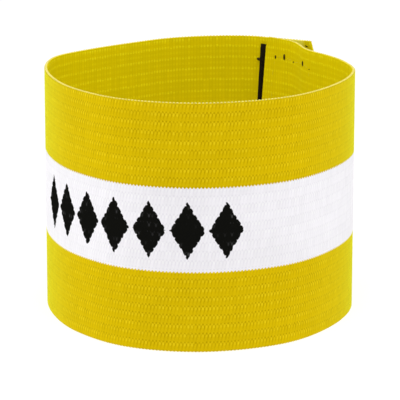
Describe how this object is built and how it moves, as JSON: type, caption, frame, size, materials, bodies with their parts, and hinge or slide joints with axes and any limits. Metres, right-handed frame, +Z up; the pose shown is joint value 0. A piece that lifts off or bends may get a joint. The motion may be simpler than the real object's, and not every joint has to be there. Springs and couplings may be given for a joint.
{
  "type": "captain armband",
  "caption": "Wide woven elastic armband in three equal stripes, standing as an open loop, its two ends joined by a hook pad and a loop pad.",
  "frame": {"origin": "middle of the outline seen from above, on the surface that the band stands on", "axes": "+Z up along the arm, from the lower rim to the upper; -Y to the front of the band; the closure is at the back, on the +X side"},
  "size_m": [0.0954, 0.1096, 0.0761],
  "materials": {
    "elastic_yellow": "matt woven elastic, yellow with a white stripe along the middle",
    "hook_tape_black": "stiff woven tape with a field of small hooks",
    "loop_tape_black": "soft woven tape with a nap of fine loops"
  },
  "bodies": {
    "root": {"elastic_band": "elastic_yellow", "hook_pad": "hook_tape_black", "loop_pad": "loop_tape_black"}
  },
  "joints": []
}
